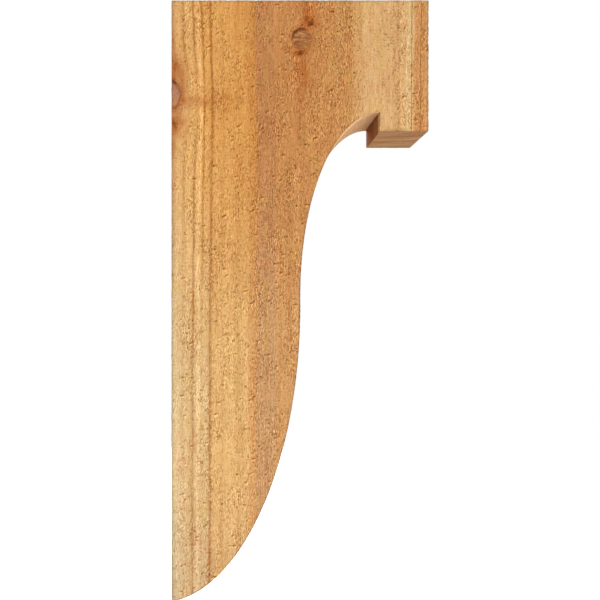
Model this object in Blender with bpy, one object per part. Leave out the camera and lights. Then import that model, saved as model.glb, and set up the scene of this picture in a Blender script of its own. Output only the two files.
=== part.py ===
"""Wooden corbel bracket: one board of rough-sawn cedar, sawn to a long S-shaped outline with a short foot under its nose.

Metres, +Z up. The origin is the middle of the face that lies against the wall. The bracket stands out from the wall
along +X, and the board's thickness runs along Y.
"""

import math

import bmesh
import bpy

# The board
HEIGHT = 0.7112  # along the wall, top face to bottom tip
PROJECTION = 0.3048  # out from the wall, along the top face
THICKNESS = 0.0889  # across the board
EASED_EDGE = 0.0008  # how far the sawn arrises of the two broad faces are worn back

# The outline, from the top face down
CROWN_DROP = 0.1330  # top face to the crown of the arch under the nose
FOOT_DROP = 0.0222  # how far the foot hangs below that crown
FOOT_WIDTH = 0.0582  # from the nose's end face back to the foot's inner face
ARCH_RISE = 0.2145  # the arch's crown down to where the outline turns upright
WAIST_DEPTH = 0.1530  # out from the wall at the upright stretch
WAIST_RUN = 0.0135  # length of the upright stretch
SWEEP_SETBACK = 0.0147  # the lower sweep's centre lies this far behind the wall face

# Straight steps along each curve
ARCH_STEPS = 32
SWEEP_STEPS = 40

# Dry cedar as sawn, seen from a step away
CEDAR_COLOUR = (0.665, 0.367, 0.136, 1.0)
CEDAR_ROUGHNESS = 0.85


def clear_scene():
    """Removes whatever the file opened with."""
    for thing in list(bpy.data.objects):
        bpy.data.objects.remove(thing, do_unlink=True)


def cedar():
    """The sawn wood's material."""
    material = bpy.data.materials.new("rough_sawn_cedar")
    material.use_nodes = True
    shader = material.node_tree.nodes["Principled BSDF"]
    shader.inputs["Base Color"].default_value = CEDAR_COLOUR
    shader.inputs["Roughness"].default_value = CEDAR_ROUGHNESS
    material.diffuse_color = CEDAR_COLOUR
    return material


def quarter_ellipse(centre, across, down, start, end, steps):
    """Points (x, z) on an ellipse about centre. Angles are from +X, turning towards +Z, and both ends are included."""
    angles = (start + (end - start) * i / steps for i in range(steps + 1))
    return [(centre[0] + across * math.cos(a), centre[1] + down * math.sin(a)) for a in angles]


def sweep(top):
    """The convex lower curve, from the bottom tip on the wall up to the waist."""
    across = WAIST_DEPTH + SWEEP_SETBACK
    centre = (-SWEEP_SETBACK, top - CROWN_DROP - ARCH_RISE - WAIST_RUN)
    tip_angle = -math.acos(SWEEP_SETBACK / across)
    down = (centre[1] - (top - HEIGHT)) / -math.sin(tip_angle)
    return quarter_ellipse(centre, across, down, tip_angle, 0.0, SWEEP_STEPS)


def arch(top):
    """The hollow upper curve, from the waist up to its crown at the foot's inner face."""
    inner_face = PROJECTION - FOOT_WIDTH
    centre = (inner_face, top - CROWN_DROP - ARCH_RISE)
    return quarter_ellipse(centre, inner_face - WAIST_DEPTH, ARCH_RISE, math.pi, math.pi / 2, ARCH_STEPS)


def foot_and_nose(top):
    """The square corners, from the foot's inner face round the nose and back to the wall."""
    inner_face = PROJECTION - FOOT_WIDTH
    foot_bottom = top - CROWN_DROP - FOOT_DROP
    return [(inner_face, foot_bottom), (PROJECTION, foot_bottom), (PROJECTION, top), (0.0, top)]


def outline():
    """The whole outline as (x, z), anticlockwise as seen from -Y."""
    top = HEIGHT / 2
    return sweep(top) + arch(top) + foot_and_nose(top)


def ease_arrises(mesh):
    """Bevels the edges where a broad face meets the sawn edge faces, all round both broad faces."""
    broad = {face for face in mesh.faces if abs(face.normal.y) > math.cos(math.radians(1))}
    arrises = [edge for edge in mesh.edges if any(face in broad for face in edge.link_faces)]
    bmesh.ops.bevel(mesh, geom=arrises, offset=EASED_EDGE, segments=1, affect="EDGES", clamp_overlap=True)


def bracket():
    """The board, sawn to the outline."""
    mesh = bmesh.new()
    loop = [mesh.verts.new((x, -THICKNESS / 2, z)) for x, z in outline()]
    face = mesh.faces.new(loop)
    grown = bmesh.ops.extrude_face_region(mesh, geom=[face])
    far_side = [item for item in grown["geom"] if isinstance(item, bmesh.types.BMVert)]
    bmesh.ops.translate(mesh, vec=(0.0, THICKNESS, 0.0), verts=far_side)
    bmesh.ops.recalc_face_normals(mesh, faces=mesh.faces)
    ease_arrises(mesh)

    data = bpy.data.meshes.new("bracket")
    mesh.to_mesh(data)
    mesh.free()
    data.shade_smooth()
    data.set_sharp_from_angle(angle=math.radians(30))
    data.materials.append(cedar())
    board = bpy.data.objects.new("bracket", data)
    bpy.context.scene.collection.objects.link(board)
    return board


clear_scene()
bracket()
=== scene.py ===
"""Builds the visual model of a wooden corbel bracket, one board of rough-sawn cedar, around the CAD frame.

Metres, +Z up, in the frame of the CAD part. The face against the wall is the plane x = 0, the bracket stands
out along +X, and the board's thickness runs along Y, so the face in the photograph looks along -Y.
"""

import math

import bpy
import numpy as np
from bpy.props import FloatProperty, FloatVectorProperty, IntProperty, PointerProperty
from mathutils.geometry import delaunay_2d_cdt
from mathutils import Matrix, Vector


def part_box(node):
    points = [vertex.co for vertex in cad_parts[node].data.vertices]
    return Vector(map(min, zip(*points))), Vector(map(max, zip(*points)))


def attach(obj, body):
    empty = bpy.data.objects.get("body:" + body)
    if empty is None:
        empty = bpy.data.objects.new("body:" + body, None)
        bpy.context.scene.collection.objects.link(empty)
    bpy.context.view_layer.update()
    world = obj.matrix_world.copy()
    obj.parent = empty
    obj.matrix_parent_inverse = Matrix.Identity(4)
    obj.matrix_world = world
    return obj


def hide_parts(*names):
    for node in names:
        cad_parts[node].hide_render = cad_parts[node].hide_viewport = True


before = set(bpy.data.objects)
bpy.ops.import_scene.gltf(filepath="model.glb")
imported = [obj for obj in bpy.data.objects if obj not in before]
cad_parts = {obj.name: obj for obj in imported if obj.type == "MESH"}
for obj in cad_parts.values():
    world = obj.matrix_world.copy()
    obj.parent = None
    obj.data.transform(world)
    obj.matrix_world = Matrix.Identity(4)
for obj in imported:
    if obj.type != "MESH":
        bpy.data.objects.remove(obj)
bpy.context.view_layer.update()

bl_info = {
    "name": "Rough-sawn cedar corbel",
    "version": (1, 0, 0),
    "blender": (4, 5, 0),
    "location": "3D View > Sidebar > Corbel",
    "description": "Builds a corbel bracket sawn from one cedar board, with torn fibres and a plain studio",
    "category": "Add Mesh",
}

BODY = "root"
CAD_NODE = "bracket"
BOARD_LOW, BOARD_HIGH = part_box(CAD_NODE)
BOARD_SIZE = BOARD_HIGH - BOARD_LOW
MM = 0.001
CHUNK = 4000  # points set against the whole outline at once


def display_colour(red, green, blue):
    """A colour given as a screen shows it, 0 to 255, as the linear colour that a shader takes."""
    shown = [channel / 255 for channel in (red, green, blue)]
    return tuple(c / 12.92 if c <= 0.04045 else ((c + 0.055) / 1.055) ** 2.4 for c in shown) + (1.0,)


def length(name, description, default):
    """A length in metres."""
    return FloatProperty(name=name, description=description, default=default, unit="LENGTH", precision=5)


def power(name, description, default):
    """A lamp's power in watts."""
    return FloatProperty(name=name, description=description, default=default, unit="POWER")


def colour(name, description, *shown):
    """A colour, its default given as the screen shows it, 0 to 255."""
    return FloatVectorProperty(
        name=name,
        description=description,
        default=display_colour(*shown),
        subtype="COLOR",
        size=4,
        min=0,
        max=1,
    )


class CorbelOutline(bpy.types.PropertyGroup):
    """The sizes of the sawn outline. They are the CAD part's."""

    height: length("Height", "Along the wall, top face to bottom tip", BOARD_SIZE.z)
    projection: length("Projection", "Out from the wall, along the top face", BOARD_SIZE.x)
    thickness: length("Thickness", "Across the board", BOARD_SIZE.y)
    crown_drop: length("Crown drop", "Top face to the crown of the arch under the nose", 0.1330)
    foot_drop: length("Foot drop", "How far the foot hangs below that crown", 0.0222)
    foot_width: length("Foot width", "From the nose's end face back to the foot's inner face", 0.0582)
    arch_rise: length("Arch rise", "The arch's crown down to where the outline turns upright", 0.2145)
    waist_depth: length("Waist depth", "Out from the wall at the upright stretch", 0.1530)
    waist_run: length("Waist run", "Length of the upright stretch", 0.0135)
    sweep_setback: length("Sweep setback", "Wall face to the lower sweep's centre, behind it", 0.0147)
    worn_corner: length("Worn corner", "Radius of the outline's square corners", 0.0009)


class SawnSurface(bpy.types.PropertyGroup):
    """How rough the saw left the wood."""

    skin: length("Skin", "Average depth of the rough surface below its highest tufts", 0.00060)
    tear_depth: length("Tear depth", "Height of the torn grain", 0.00070)
    tear_width: length("Tear width", "Across one torn spot", 0.0024)
    tear_length: length("Tear length", "Along one torn spot", 0.0034)
    line_depth: length("Line depth", "How deep the softest growth lines are scoured", 0.00018)
    saw_pitch: length("Saw pitch", "Between two marks of the rip saw on the broad faces", 0.0038)
    saw_depth: length("Saw depth", "Height of those marks", 0.00004)
    band_pitch: length("Band saw pitch", "Between two marks on the curved faces", 0.0062)
    band_depth: length("Band saw depth", "Height of those marks", 0.00015)
    stroke_lean: FloatProperty(
        name="Stroke lean",
        description="How far from upright the slanting strokes lie",
        default=0.66,
        unit="ROTATION",
    )
    worn_edge: length("Worn edge", "How far the long arrises are worn back, on average", 0.00065)
    fibres: IntProperty(
        name="Torn fibres",
        description="Fibres standing out of each broad face",
        default=7500,
        min=0,
    )
    fibre_length: length("Fibre length", "Longest torn fibre", 0.0056)
    fibre_width: length("Fibre width", "Widest torn fibre", 0.0014)


class CedarColours(bpy.types.PropertyGroup):
    """The wood's colours, as the screen shows them in even light. Three are partly or wholly painted light or
    shade: the pale light under the arch, the dark shade behind the foot, and the colour of the pits in the
    rough skin.
    """

    bleached: colour("Bleached", "Weathered strip against the wall, at the top", 190, 142, 94)
    bleached_low: colour("Bleached, low down", "The same, towards the tip", 200, 181, 142)
    straw: colour("Straw", "Palest wood, beside it", 216, 168, 108)
    straw_low: colour("Straw, low down", "The same, towards the tip", 217, 188, 142)
    wheat: colour("Wheat", "Pale rough wood", 219, 169, 106)
    wheat_low: colour("Wheat, low down", "The same, towards the tip", 210, 176, 126)
    cream: colour("Cream", "Bright early wood beside a growth line", 235, 180, 111)
    cream_low: colour("Cream, low down", "The same, towards the tip", 230, 196, 145)
    honey: colour("Honey", "Golden wood in the middle of the leg", 213, 156, 88)
    honey_low: colour("Honey, low down", "The same, towards the tip", 216, 173, 115)
    gold: colour("Gold", "Deeper golden wood", 206, 147, 80)
    gold_low: colour("Gold, low down", "The same, towards the tip", 210, 167, 110)
    bronze: colour("Bronze", "Golden wood turning brown", 196, 135, 71)
    bronze_low: colour("Bronze, low down", "The same, towards the tip", 207, 156, 101)
    rose: colour("Rose", "Pinkish band", 180, 124, 77)
    rose_low: colour("Rose, low down", "The same, towards the tip", 190, 145, 101)
    clay: colour("Clay", "Brown wood beside the waist", 188, 131, 78)
    clay_low: colour("Clay, low down", "The same, towards the tip", 198, 149, 98)
    amber: colour("Amber", "Orange wood round the upper knot", 188, 135, 81)
    sand: colour("Sand", "Smooth pale band above the arch", 205, 163, 112)
    rust: colour("Rust", "Reddish wood along the nose", 192, 138, 86)
    russet: colour("Russet", "Resin-stained wood near the knots", 166, 86, 32)
    latewood: colour("Latewood", "The dark growth lines", 152, 92, 36)
    olive: colour("Olive", "Yellowish blotches", 206, 162, 80)
    orange: colour("Orange", "Orange blotches", 212, 132, 68)
    knot: colour("Knot", "Heart of a knot", 126, 76, 46)
    knot_light: colour("Knot, light", "Paler streaks across a knot", 194, 136, 92)
    knot_pink: colour("Knot, pink", "Heart of the knot against the wall", 172, 118, 104)
    grime: colour("Grime", "Handled, greyed wood along the arrises", 104, 88, 76)
    knot_rim: colour("Knot rim", "Dark bark line round a knot", 64, 25, 5)
    tuft: colour("Tuft", "Torn fibres that catch the light", 255, 214, 150)
    # Partly painted shade: this dark, saturated colour laid into the dips of the rough skin stands in for the
    # shade there, over the darker wood where fibres were pulled out.
    hollow: colour("Hollow", "Pits where fibres were pulled out", 156, 84, 26)
    end_light: colour("Light end grain", "Early wood on a face sawn across the grain", 172, 131, 93)
    end_dark: colour("Dark end grain", "Late wood on a face sawn across the grain", 138, 97, 70)
    # Painted light: a pale colour that lifts the underside of the arch, which lies in the foot's shade.
    fresh: colour("Fresh cut", "Clean wood under the crown of the arch", 244, 198, 152)
    # Painted shade: the dark of the inner face behind the foot and of the arch just beside it, where the foot
    # keeps the light out.
    scorch: colour("Scorch", "Wood darkened by the blind cut behind the foot", 96, 48, 26)


class CorbelStudio(bpy.types.PropertyGroup):
    """Camera, lights and floor."""

    lens: FloatProperty(name="Lens", description="Focal length", default=40.66, unit="CAMERA")
    shift: FloatProperty(name="Lens shift", description="Sideways, in widths of the picture", default=0.1)
    distance: length("Distance", "Camera to the near broad face", 0.80)
    across: length("Across", "Camera out from the wall", 0.0815)
    above: length("Above", "Camera above the middle of the board", 0.0014)
    key: power("Key light", "Soft light from the front right", 338.0)
    fill: power("Fill light", "Large soft light from the front left", 9.0)
    bounce: power("Bounce light", "Soft light from below", 4.1)
    back: power("Back light", "Soft light from behind", 160.0)
    sky: FloatProperty(name="Surroundings", description="Brightness of the white room", default=0.16)
    floor_drop: length("Floor drop", "Floor below the middle of the board", 1.05)


# Noise and small curves, used for shapes and for where the tones lie

HASH_FACTORS = (73856093, 19349663, 83492791)
HASH_SEED_FACTOR = 2654435761
HASH_MIXER = 2246822519
LOW_BITS = 0xFFFFFFFF
SEED_STEP = 7.31  # cells between the noise of one seed and the next
NOISE_GAIN = 1.25  # brings the noise to about -1 to 1
EDGE_DIRECTIONS = np.array(
    [(a, b, 0) for a in (-1, 1) for b in (-1, 1)]
    + [(a, 0, b) for a in (-1, 1) for b in (-1, 1)]
    + [(0, a, b) for a in (-1, 1) for b in (-1, 1)],
    dtype=float,
)


def scrambled(cells, seed):
    """A repeatable large number for each whole-numbered cell (n, 3)."""
    mixed = np.full(len(cells), (seed * HASH_SEED_FACTOR + 97) % 2**32, dtype=np.uint64)
    for axis, factor in enumerate(HASH_FACTORS):
        mixed ^= (cells[:, axis].astype(np.int64) & LOW_BITS).astype(np.uint64) * np.uint64(factor)
        mixed &= np.uint64(LOW_BITS)
        mixed ^= mixed >> np.uint64(15)
        mixed = (mixed * np.uint64(HASH_MIXER)) & np.uint64(LOW_BITS)
        mixed ^= mixed >> np.uint64(13)
    return mixed


def noise(points, sizes, seed):
    """Smooth noise, about -1 to 1, at points (n, 3). sizes says how wide one bump is along x, y and z."""
    scaled = points / np.array(sizes, dtype=float) + seed * SEED_STEP
    lattice = np.floor(scaled)
    inside = scaled - lattice
    fade = inside**3 * (inside * (inside * 6 - 15) + 10)
    total = np.zeros(len(points))
    for corner in np.ndindex(2, 2, 2):
        corner = np.array(corner)
        picked = scrambled(lattice + corner, seed) % np.uint64(len(EDGE_DIRECTIONS))
        direction = EDGE_DIRECTIONS[picked.astype(int)]
        weight = np.prod(np.where(corner == 1, fade, 1 - fade), axis=1)
        total += weight * np.sum(direction * (inside - corner), axis=1)
    return total * NOISE_GAIN


def layered(points, layers):
    """Noise of several sizes added up. Each layer is its strength, the size of its bumps and its seed."""
    return sum(strength * noise(points, sizes, seed) for strength, sizes, seed in layers)


def leaning_noise(points, lean, wide, long, seed):
    """Noise in strokes that lean from upright towards +X, wide across and long along each stroke."""
    turned = points.copy()
    turned[:, 0] = points[:, 0] * math.cos(lean) - points[:, 2] * math.sin(lean)
    turned[:, 2] = points[:, 0] * math.sin(lean) + points[:, 2] * math.cos(lean)
    return noise(turned, (wide, wide, long), seed)


def smooth(value, low, high):
    """0 below low, 1 above high, and a smooth step between."""
    share = np.clip((value - low) / (high - low), 0, 1)
    return share * share * (3 - 2 * share)


def bell(value, middle, width):
    """1 at the middle, fading to 0 on both sides."""
    return np.exp(-(((value - middle) / width) ** 2))


def oval(across, upward, place, height, half_width, half_height):
    """1 in the middle of an oval patch, its place and size in millimetres, fading to 0 round it."""
    aside = (across - place * MM) / (half_width * MM)
    along = (upward - height * MM) / (half_height * MM)
    return np.exp(-(aside**2 + along**2))


# Where the wood's features lie on the near broad face, in millimetres out from the wall

# Each growth line: its place, and how dark it is at the top and at the bottom of the board
GROWTH_LINES = (
    (-12.0, 0.3, 0.3),
    (2.0, 0.1, 0.2),
    (14.2, 0.72, 0.25),
    (26.0, 1.00, 0.84),
    (36.0, 0.95, 0.15),
    (45.8, 1.04, 1.00),
    (60.5, 0.3, 0.35),
    (79.0, 0.3, 0.35),
    (99.5, 0.3, 0.35),
    (112.0, 0.15, 0.2),
    (128.7, 0.25, 0.35),
    (138.5, 0.3, 0.4),
    (155.5, 0.35, 0.3),
    (171.0, 0.2, 0.2),
    (188.0, 0.2, 0.2),
    (205.5, 0.35, 0.3),
    (224.0, 0.15, 0.2),
    (246.0, 0.1, 0.1),
    (266.8, 0.5, 0.4),
    (275.0, 0.2, 0.2),
    (278.6, 0.2, 0.2),
    (282.3, 1.15, 0.95),
    (285.6, 0.1, 0.1),
    (290.0, 0.2, 0.2),
    (293.3, 1.2, 1.0),
    (296.8, 0.15, 0.15),
    (301.5, 0.4, 0.4),
    (310.0, 0.4, 0.4),
)

# How much the saw tore the grain, from 0, smooth, to 1
TORN_BANDS = (
    (0.0, 0.38),
    (12.0, 0.42),
    (17.0, 0.90),
    (44.0, 0.85),
    (50.0, 0.85),
    (96.0, 0.90),
    (103.0, 0.95),
    (122.0, 0.95),
    (130.0, 0.95),
    (165.0, 1.00),
    (200.0, 1.45),
    (210.0, 1.30),
    (218.0, 0.60),
    (226.0, 0.30),
    (258.0, 0.26),
    (266.0, 0.90),
    (281.0, 0.80),
    (288.0, 0.90),
    (305.0, 1.00),
)

# Where the grain was torn more or less than that: out from the wall, height, half width, half height, change
TORN_PATCHES = (
    (62.0, 325.0, 24.0, 48.0, -0.40),
    (118.0, 272.0, 17.0, 28.0, -0.38),
    (125.0, 340.0, 14.0, 14.0, 0.15),
    (165.0, 268.0, 22.0, 22.0, 0.20),
    (165.0, 242.0, 20.0, 16.0, -0.32),
    (186.0, 322.0, 10.0, 36.0, 0.25),
    (85.0, 200.0, 16.0, 32.0, -0.25),
    (112.0, 165.0, 15.0, 32.0, -0.28),
    (152.0, 150.0, 14.0, 40.0, 0.15),
    (62.0, 20.0, 20.0, 60.0, 0.15),
    (20.0, 258.0, 14.0, 30.0, -0.20),
)

# The tone of the wood: from where to where, and its names in CedarColours at the top and towards the tip
TONE_BANDS = (
    (0.0, 4.0, "bleached", "bleached_low"),
    (6.5, 12.5, "straw", "straw_low"),
    (16.0, 29.5, "wheat", "wheat_low"),
    (31.5, 33.5, "cream", "cream_low"),
    (35.5, 45.0, "honey", "wheat_low"),
    (47.5, 53.0, "honey", "gold_low"),
    (56.0, 71.0, "honey", "honey_low"),
    (74.0, 88.0, "gold", "gold_low"),
    (92.0, 99.4, "bronze", "bronze_low"),
    (100.6, 121.0, "rose", "rose_low"),
    (125.0, 185.0, "clay", "clay_low"),
    (192.0, 209.0, "amber", "clay_low"),
    (226.0, 274.0, "sand", "sand"),
    (276.0, 280.0, "wheat_low", "wheat_low"),
    (284.5, 284.5, "sand", "sand"),
    (286.8, 304.8, "rust", "rust"),
)

RINGS_PER_DEPTH = 1 / 0.0055  # growth rings met per metre going in from the near face
KNOT_TAPER = 3.6  # share of its radius that a knot loses per metre of depth
KNOT_SINK = 0.30  # how far a knot sinks per metre of depth
KNOT_REACH = 1.35  # how much further along the grain than across it a knot bends the grain
UP_LEFT = (-0.51, 0.86)  # the side of a knot on which its bark line is darkest
FAINT_BARK = 0.16  # how dark the bark line is on the other sides, as a share of that
DARKEST_BARK = 0.8


class Knot:
    """A branch sawn through. It runs in from the near face, sinking and thinning as it goes."""

    def __init__(self, x, z, wide, tall, push, bark, glow):
        self.x = x
        self.z = z
        self.wide = wide
        self.tall = tall
        self.push = push  # how strongly the grain bends round it
        self.bark = bark  # how dark its bark line is at the upper left, before it is held to DARKEST_BARK
        self.glow = glow  # how red the wood is all round it, from 0 to 1

    def offsets(self, points, depth):
        """Sideways and upward distance from the knot's heart, each in knot radii."""
        shrink = 1 - KNOT_TAPER * depth
        across = (points[:, 0] - self.x) / (self.wide * shrink)
        along = (points[:, 2] - self.z + KNOT_SINK * depth) / (self.tall * shrink)
        return across, along


KNOTS = (
    Knot(0.1545, 0.3092, 0.0116, 0.0126, 1.1, 0.80, 0.30),
    Knot(0.0006, 0.2440, 0.0102, 0.0158, 1.8, 2.00, 0.32),
)

# Resin stains near the knots: place out from the wall, height, half width, half height, strength
STAINS = (
    (163.5, 330.5, 9.0, 8.5, 0.98),
    (161.0, 345.0, 9.0, 11.0, 0.70),
    (164.0, 325.5, 8.0, 3.0, 0.50),
    (138.0, 299.0, 7.5, 4.0, 0.55),
    (150.0, 292.5, 7.0, 3.0, 0.95),
    (156.0, 296.5, 9.0, 4.5, 0.45),
    (153.0, 279.0, 8.0, 12.0, 0.50),
    (157.5, 262.0, 9.0, 16.0, 0.62),
    (151.0, 240.0, 5.0, 13.0, 0.35),
    (5.0, 275.0, 11.0, 17.0, 0.82),
    (2.0, 308.0, 3.0, 10.0, 0.60),
    (14.5, 243.0, 5.5, 13.0, 0.32),
    (5.0, 211.0, 11.0, 16.0, 0.92),
    (2.5, 184.0, 4.0, 16.0, 0.40),
    (50.0, 236.5, 38.0, 8.0, 0.30),
    (28.0, 236.0, 18.0, 7.5, 0.36),
    (14.5, 256.0, 4.0, 16.0, 0.45),
)


def grain_place(points, depth):
    """Distance out from the wall once the grain's bending round the knots is undone."""
    across = points[:, 0].copy()
    for knot in KNOTS:
        aside, along = knot.offsets(points, depth)
        reach = np.maximum(aside**2 + (along / KNOT_REACH) ** 2, knot.push)
        across -= knot.push * (points[:, 0] - knot.x) / reach
    return across


def grain_lean(points, depth):
    """Angle of the grain from upright, on a broad face."""
    small = 0.0005
    sideways = grain_place(points + (small, 0, 0), depth) - grain_place(points - (small, 0, 0), depth)
    upward = grain_place(points + (0, 0, small), depth) - grain_place(points - (0, 0, small), depth)
    least = 0.2 * 2 * small  # keeps the lean small where the grain crowds against a knot
    return np.arctan2(-upward, np.maximum(sideways, least))


# Layers of noise: how far the grain wanders, how unevenly it was torn, and how each kind of face swells
WANDERING = (
    (0.0016, (0.05, 0.05, 0.30), 11),
    (0.0005, (0.02, 0.02, 0.06), 12),
    (0.0004, (0.008, 0.02, 0.014), 15),
    (0.00018, (0.004, 0.02, 0.005), 18),
)
UNEVEN_TEARING = ((0.7, (0.020, 0.03, 0.040), 14), (0.3, (0.007, 0.02, 0.012), 17))
RIPPED_SWELL = ((0.00010, (0.07, 0.07, 0.18), 31), (0.00009, (0.010, 0.010, 0.030), 32))
CROSSCUT_SWELL = ((0.00007, (0.03, 0.03, 0.03), 53), (0.00005, (0.0035, 0.0050, 0.0050), 54))


def knot_fields(points, depth):
    """How near the nearest knot is, in its radii, and how much halo, heart and bark line is at each point."""
    nearest = np.full(len(points), 9.0)
    halo = np.zeros(len(points))
    heart = np.zeros(len(points))
    bark = np.zeros(len(points))
    for number, knot in enumerate(KNOTS):
        aside, along = knot.offsets(points, depth)
        apart = np.hypot(aside, along)
        uneven = apart * (1 + 0.10 * noise(points, (0.006, 0.03, 0.006), 20 + number))
        up_left = (UP_LEFT[1] * along + UP_LEFT[0] * aside) / np.maximum(apart, 0.2)
        clear = 0.62 + 0.38 * smooth(up_left, -0.9, 0.1)
        heart = np.maximum(heart, clear * (1 - smooth(uneven, 0.80, 1.10)))
        line = knot.bark * (FAINT_BARK + (1 - FAINT_BARK) * smooth(up_left, 0.25, 0.98))
        bark = np.where(uneven < nearest, np.minimum(line, DARKEST_BARK), bark)
        nearest = np.minimum(nearest, uneven)
        glow = np.maximum(knot.glow, 0.68 * smooth(up_left, 0.2, 0.8))
        halo = np.maximum(halo, glow * bell(apart, 1.05, 0.28))
    patch = 1 + 0.45 * noise(points, (0.004, 0.02, 0.010), 24)
    upward = points[:, 2] + KNOT_SINK * depth
    for *place, strength in STAINS:
        halo += strength * patch * oval(points[:, 0], upward, *place) * np.exp(-depth / 0.05)
    return {"knot": nearest, "halo": np.clip(halo, 0, 1.5), "heart": heart, "bark": bark}


def line_fields(points, across, depth):
    """Which growth ring each point lies in, and how dark the growth lines are there."""
    places, high, low = np.array(GROWTH_LINES).T
    places = places * MM
    upward = smooth(points[:, 2], -0.15, 0.25)
    line = np.interp(across, places, low) * (1 - upward) + np.interp(across, places, high) * upward
    line *= 1 - 0.60 * bell(points[:, 2], 0.232, 0.045) * (1 - smooth(points[:, 0], 0.030, 0.042))
    inner = smooth(depth, 0.002, 0.02)
    line = line * (1 - inner) + 0.45 * inner
    ring = np.interp(across, places, np.arange(len(places))) + depth * RINGS_PER_DEPTH
    ring += inner * 0.35 * noise(points, (0.09, 0.05, 0.4), 13)
    return {"ring": ring, "line": line}


def torn_fields(points, band, nearest_knot):
    """How much the saw tore the grain, and how the torn strokes lean: 1 is towards +X going up, -1 away."""
    places, amounts = np.array(TORN_BANDS).T
    tear = np.interp(band, places * MM, amounts)
    low_down = 1 - smooth(points[:, 2], -0.25, -0.18)
    tear += low_down * (0.45 * bell(band, 0.008, 0.007) - 0.50 * bell(band, 0.0205, 0.004))
    for *place, change in TORN_PATCHES:
        tear += change * oval(band, points[:, 2], *place)
    tear *= 0.72 + layered(points, UNEVEN_TEARING)
    tear = np.clip(tear, 0.1, 1.3) * (1 - 0.8 * (1 - smooth(nearest_knot, 0.9, 1.3)))
    lean = 0.9 * np.maximum(bell(band, 0.0175, 0.006), bell(band, 0.036, 0.007))
    lean *= 1 - smooth(points[:, 2], -0.14, -0.04)
    lean -= bell(band, 0.273, 0.008)
    lean -= 0.8 * bell(points[:, 0], 0.185, 0.020) * bell(points[:, 2], 0.300, 0.035)
    patch = noise(points, (0.03, 0.05, 0.05), 16)
    lean += 0.5 * np.sign(patch) * smooth(np.abs(patch), 0.35, 0.60)
    return {"tear": tear, "lean": np.clip(lean, -1, 1)}


def wood_fields(points, sizes):
    """What the solid wood is like at each point: everything that colour and relief depend on."""
    depth = points[:, 1] + sizes.thickness / 2
    across = grain_place(points, depth) + layered(points, WANDERING)
    band = np.abs((across + depth) % (2 * sizes.projection))
    band = np.where(band > sizes.projection, 2 * sizes.projection - band, band)
    knots = knot_fields(points, depth)
    torn = torn_fields(points, band, knots["knot"])
    return {"depth": depth, "band": band} | knots | torn | line_fields(points, across, depth)


def from_line(fields):
    """How far each point is from the nearest growth line, in rings."""
    return np.abs(fields["ring"] - np.round(fields["ring"]))


# Depths in metres
LEAST_SKIN = 0.00002  # every surface stays this far inside the CAD's
DEEPEST_SKIN = 0.0017
EDGE_SKIN = 0.00022  # average depth of the skin on the faces sawn across the grain
DEEPEST_EDGE_SKIN = 0.0009
HOLE_DEPTH = 0.00040
SCRATCH_DEPTH = 0.00025
BARK_DEPTH = 0.00014
KNOT_DEPTH = 0.00006
RIDGE_HEIGHT = 0.00004  # of a growth line on a face sawn across the grain

SAW_SLOPE = 0.07  # rise of the rip saw's marks going out from the wall
BAND_SAW_SLOPE = 0.05
HOLE_TILT = math.radians(65)


def ripped_relief(points, fields, surface):
    """Depth of the rough skin, in metres below the highest tufts, on a face sawn along the grain."""
    wide, long = surface.tear_width, surface.tear_length
    spots = noise(points, (wide, wide, long), 34)
    fine = noise(points, (0.8 * wide, 0.8 * wide, 0.55 * long), 35)
    slash = leaning_noise(points, surface.stroke_lean, 0.8 * wide, 1.8 * wide, 36)
    backslash = leaning_noise(points, -surface.stroke_lean, 0.8 * wide, 1.8 * wide, 33)
    feather = np.where(fields["lean"] > 0, slash, backslash) * np.abs(fields["lean"])
    calm = 1 - 0.6 * np.abs(fields["lean"])
    torn = fields["tear"] * surface.tear_depth * (calm * (0.50 * spots + 0.40 * fine) + 0.65 * feather)
    lost = 0.7 * fields["tear"] * smooth(leaning_noise(points, HOLE_TILT, wide, 2.2 * wide, 37), 0.42, 0.75)
    scratch = smooth(noise(points, (2.4 * wide, 2.4 * wide, 0.35 * long), 42), 0.50, 0.72)
    drift = 0.0020 * noise(points, (0.05, 0.05, 0.05), 38)
    marks = np.sin(2 * math.pi * (points[:, 2] + SAW_SLOPE * points[:, 0] + drift) / surface.saw_pitch)
    marks *= surface.saw_depth * (1.15 - fields["tear"]) * (0.6 + 0.6 * noise(points, (0.05, 0.05, 0.10), 39))
    scoured = fields["line"] ** 2 * bell(from_line(fields), 0, 0.11)
    scoured *= 0.75 + 0.5 * noise(points, (0.01, 0.01, 0.03), 40)
    height = layered(points, RIPPED_SWELL) + torn + marks
    height -= HOLE_DEPTH * lost + SCRATCH_DEPTH * scratch + surface.line_depth * scoured
    height -= KNOT_DEPTH * (1 - smooth(fields["knot"], 0.75, 1.05))
    height -= BARK_DEPTH * fields["bark"] * bell(fields["knot"], 1.03, 0.13)
    return np.clip(surface.skin - height, LEAST_SKIN, DEEPEST_SKIN)


def crosscut_relief(points, fields, surface, along_edge):
    """Depth of the skin on a face sawn across the grain or along a curve, its marks along the thickness."""
    drift = 0.0030 * noise(points, (0.04, 0.03, 0.04), 51)
    marks = np.sin(2 * math.pi * (along_edge + BAND_SAW_SLOPE * points[:, 1] + drift) / surface.band_pitch)
    marks *= surface.band_depth * (0.7 + 0.6 * noise(points, (0.05, 0.02, 0.05), 52))
    ridge = RIDGE_HEIGHT * bell(from_line(fields), 0, 0.12)
    height = marks + layered(points, CROSSCUT_SWELL) + ridge
    return np.clip(EDGE_SKIN - height, LEAST_SKIN, DEEPEST_EDGE_SKIN)


# The sawn outline

RIPPED, CURVED, CROSSCUT = 0, 1, 2
CURVE_POINTS = 2000  # enough that each curve is smooth before it is divided evenly
BOARD_STEP = 0.0024  # between two points of the board's outline
FIBRE_STEP = 0.0022  # the same for the outline that holds the fibres in


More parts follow.
